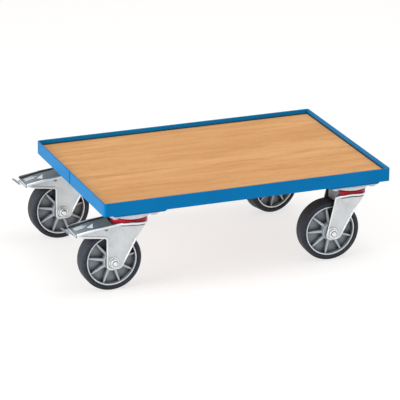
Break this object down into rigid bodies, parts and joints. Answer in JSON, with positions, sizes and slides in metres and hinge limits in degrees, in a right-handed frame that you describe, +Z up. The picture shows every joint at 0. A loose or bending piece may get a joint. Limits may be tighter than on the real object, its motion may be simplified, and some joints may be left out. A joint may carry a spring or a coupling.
{
  "type": "crate dolly",
  "caption": "Low dolly for crates: steel angle frame with an inlaid board, on swivel casters with ribbed wheels, foot brakes at one end.",
  "frame": {"origin": "on the floor, under the middle of the bounding box", "axes": "+Z up, +X along the length towards the end without brakes, -Y towards the viewer of the picture"},
  "size_m": [0.675, 0.41, 0.195],
  "materials": {
    "blue_paint": "smooth gloss powder coat",
    "beech": "clear-coated beech look",
    "zinc": "bright zinc plating",
    "red_plastic": "smooth moulded plastic",
    "grey_plastic": "moulded plastic, light grey",
    "tyre": "matt anthracite rubber",
    "pedal_steel": "dark plated sheet",
    "shoe_rubber": "matt black"
  },
  "bodies": {
    "frame": {"rail_front": "blue_paint", "rail_back": "blue_paint", "rail_left": "blue_paint", "rail_right": "blue_paint", "deck_board": "beech", "front_left_corner_plate": "blue_paint", "front_left_screws": "zinc", "front_left_top_plate": "zinc", "front_left_kingpin": "zinc", "front_left_dust_cap": "red_plastic", "front_right_corner_plate": "blue_paint", "front_right_screws": "zinc", "front_right_top_plate": "zinc", "front_right_kingpin": "zinc", "front_right_dust_cap": "red_plastic", "rear_left_corner_plate": "blue_paint", "rear_left_screws": "zinc", "rear_left_top_plate": "zinc", "rear_left_kingpin": "zinc", "rear_left_dust_cap": "red_plastic", "rear_right_corner_plate": "blue_paint", "rear_right_screws": "zinc", "rear_right_top_plate": "zinc", "rear_right_kingpin": "zinc", "rear_right_dust_cap": "red_plastic"},
    "front_left_fork_body": {"front_left_fork": "zinc", "front_left_axle_bolt": "zinc", "front_left_axle_nut": "zinc", "front_left_pedal_pin": "zinc"},
    "front_left_wheel": {"front_left_wheel_center": "grey_plastic", "front_left_tyre": "tyre"},
    "front_left_pedal": {"front_left_brake_pedal": "pedal_steel", "front_left_brake_shoe": "shoe_rubber"},
    "front_right_fork_body": {"front_right_fork": "zinc", "front_right_axle_bolt": "zinc", "front_right_axle_nut": "zinc"},
    "front_right_wheel": {"front_right_wheel_center": "grey_plastic", "front_right_tyre": "tyre"},
    "rear_left_fork_body": {"rear_left_fork": "zinc", "rear_left_axle_bolt": "zinc", "rear_left_axle_nut": "zinc", "rear_left_pedal_pin": "zinc"},
    "rear_left_wheel": {"rear_left_wheel_center": "grey_plastic", "rear_left_tyre": "tyre"},
    "rear_left_pedal": {"rear_left_brake_pedal": "pedal_steel", "rear_left_brake_shoe": "shoe_rubber"},
    "rear_right_fork_body": {"rear_right_fork": "zinc", "rear_right_axle_bolt": "zinc", "rear_right_axle_nut": "zinc"},
    "rear_right_wheel": {"rear_right_wheel_center": "grey_plastic", "rear_right_tyre": "tyre"}
  },
  "joints": [
    {"name": "front_left_swivel", "type": "hinge", "parent": "frame", "child": "front_left_fork_body", "pos_m": [-0.2025, -0.154, 0.14], "axis": [0, 0, 1], "continuous": true},
    {"name": "front_left_roll", "type": "hinge", "parent": "front_left_fork_body", "child": "front_left_wheel", "pos_m": [-0.2445, -0.154, 0.0625], "axis": [0, 1, 0], "continuous": true},
    {"name": "front_left_brake", "type": "hinge", "parent": "front_left_fork_body", "child": "front_left_pedal", "pos_m": [-0.2595, -0.154, 0.1315], "axis": [0, -1, 0], "range_deg": [0, 12]},
    {"name": "front_right_swivel", "type": "hinge", "parent": "frame", "child": "front_right_fork_body", "pos_m": [0.2675, -0.154, 0.14], "axis": [0, 0, 1], "continuous": true},
    {"name": "front_right_roll", "type": "hinge", "parent": "front_right_fork_body", "child": "front_right_wheel", "pos_m": [0.22553, -0.15253, 0.0625], "axis": [0.0349, 0.9994, 0], "continuous": true},
    {"name": "rear_left_swivel", "type": "hinge", "parent": "frame", "child": "rear_left_fork_body", "pos_m": [-0.2025, 0.154, 0.14], "axis": [0, 0, 1], "continuous": true},
    {"name": "rear_left_roll", "type": "hinge", "parent": "rear_left_fork_body", "child": "rear_left_wheel", "pos_m": [-0.2445, 0.154, 0.0625], "axis": [0, 1, 0], "continuous": true},
    {"name": "rear_left_brake", "type": "hinge", "parent": "rear_left_fork_body", "child": "rear_left_pedal", "pos_m": [-0.2595, 0.154, 0.1315], "axis": [0, -1, 0], "range_deg": [0, 12]},
    {"name": "rear_right_swivel", "type": "hinge", "parent": "frame", "child": "rear_right_fork_body", "pos_m": [0.2675, 0.154, 0.14], "axis": [0, 0, 1], "continuous": true},
    {"name": "rear_right_roll", "type": "hinge", "parent": "rear_right_fork_body", "child": "rear_right_wheel", "pos_m": [0.22693, 0.14313, 0.0625], "axis": [-0.2588, 0.9659, 0], "continuous": true}
  ]
}
